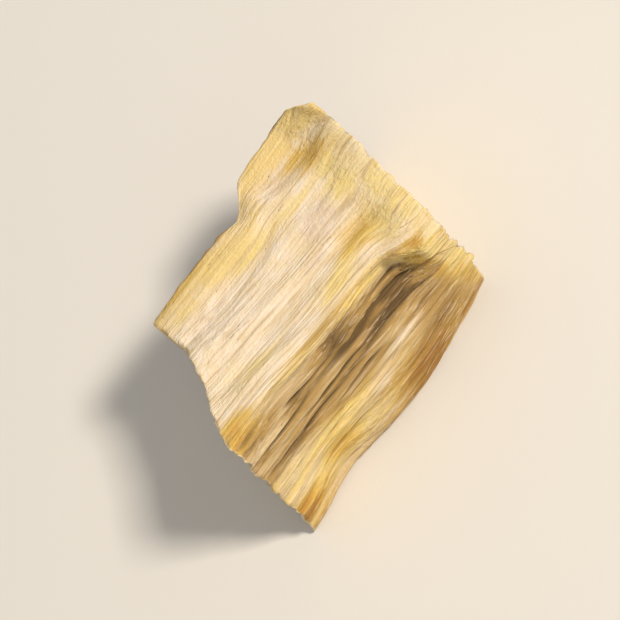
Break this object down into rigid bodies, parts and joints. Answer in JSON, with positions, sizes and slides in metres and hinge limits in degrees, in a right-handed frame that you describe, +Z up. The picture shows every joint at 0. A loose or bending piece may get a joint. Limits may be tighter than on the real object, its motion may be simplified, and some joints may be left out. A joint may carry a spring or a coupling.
{
  "type": "dried chopped horseradish root chip",
  "caption": "Dried chip of chopped horseradish root: a twisted, roughly box-shaped piece, cut across the fibre at both ends, with a flat base to rest on.",
  "frame": {"origin": "on the surface that the chip lies on, under the middle of its box", "axes": "+X along the fibre towards the far cut, +Y towards the skin side, +Z up"},
  "size_m": [0.0126, 0.008, 0.0077],
  "materials": {
    "root_flesh": "dry fibrous root flesh, matte"
  },
  "bodies": {
    "root": {"root_chip": "root_flesh"}
  },
  "joints": []
}
